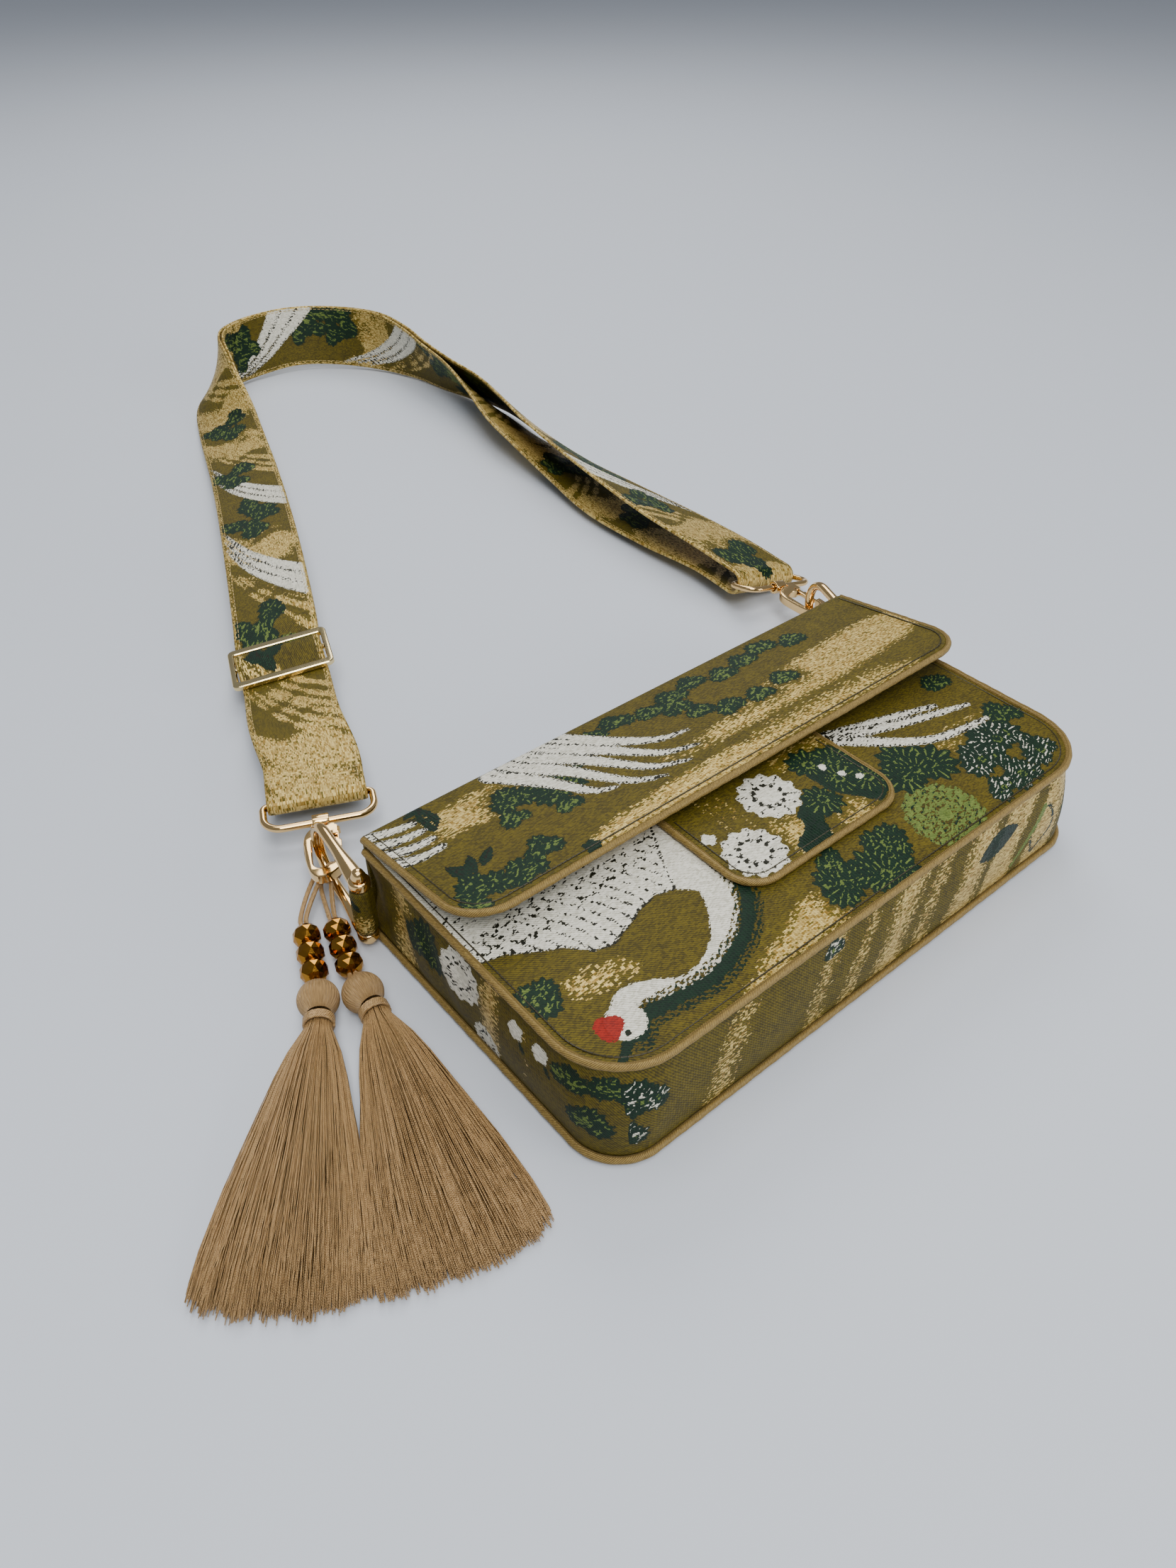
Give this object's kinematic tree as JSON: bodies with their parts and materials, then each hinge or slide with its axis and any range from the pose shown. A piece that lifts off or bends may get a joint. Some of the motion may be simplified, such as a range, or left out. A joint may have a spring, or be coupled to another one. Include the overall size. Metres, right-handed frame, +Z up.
{
  "type": "baguette shoulder bag with tassels",
  "caption": "Small flap-front brocade shoulder bag lying on its back, its adjustable strap laid out in a loop on two clasps, with beaded tassels.",
  "frame": {"origin": "middle of the back panel's outer face, on the surface the bag lies on", "axes": "+X along the bag's bottom seam, +Y towards the fold of the flap and out along the strap, +Z up through the front"},
  "size_m": [0.4449, 0.6747, 0.0571],
  "materials": {
    "brocade": "olive satin brocade with woven figures in white, gold and greens",
    "gold_cloth": "tan-gold satin piping",
    "rose_gold": "polished light rose gold",
    "pale_gold": "polished pale gold",
    "silk": "tan silk thread and braid",
    "bead": "dark bronze faceted bead"
  },
  "bodies": {
    "root": {"back_panel": "brocade", "front_panel": "brocade", "gusset": "brocade", "flap": "brocade", "closure_tab": "brocade", "front_piping": "gold_cloth", "back_piping": "gold_cloth", "flap_piping": "gold_cloth", "tab_piping": "gold_cloth", "strap": "brocade", "slider": "pale_gold", "side_loop_left": "brocade", "shackle_left": "rose_gold", "shackle_pin_left": "rose_gold", "strap_ring_left": "rose_gold", "clasp_knuckle_left": "rose_gold", "side_loop_right": "brocade", "shackle_right": "rose_gold", "shackle_pin_right": "rose_gold", "strap_ring_right": "rose_gold", "clasp_knuckle_right": "rose_gold", "tassel_a": "silk", "neck_wrap_a": "silk", "tassel_cord_a": "silk", "bead_a1": "bead", "bead_a2": "bead", "bead_a3": "bead", "tassel_b": "silk", "neck_wrap_b": "silk", "tassel_cord_b": "silk", "bead_b1": "bead", "bead_b2": "bead", "bead_b3": "bead"},
    "clasp_left": {"clasp_hook_left": "rose_gold"},
    "lever_left": {"clasp_lever_left": "rose_gold"},
    "clasp_right": {"clasp_hook_right": "rose_gold"},
    "lever_right": {"clasp_lever_right": "rose_gold"}
  },
  "joints": [
    {"name": "swivel_left", "type": "hinge", "parent": "root", "child": "clasp_left", "pos_m": [-0.11642, 0.11744, 0.014], "axis": [-0.454, -0.891, 0], "range_deg": [-5, 5]},
    {"name": "gate_left", "type": "hinge", "parent": "clasp_left", "child": "lever_left", "pos_m": [-0.11506, 0.10822, 0.014], "axis": [0, 0, 1], "range_deg": [-14, 0], "stiffness_Nm_per_rad": 0.02, "springref_deg": 11.46},
    {"name": "swivel_right", "type": "hinge", "parent": "root", "child": "clasp_right", "pos_m": [0.15498, 0.12475, 0.0144], "axis": [-0.0698, -0.9976, 0], "range_deg": [-4, 4]},
    {"name": "gate_right", "type": "hinge", "parent": "clasp_right", "child": "lever_right", "pos_m": [0.15984, 0.11679, 0.0144], "axis": [0, 0, 1], "range_deg": [-14, 0], "stiffness_Nm_per_rad": 0.02, "springref_deg": 11.46}
  ]
}
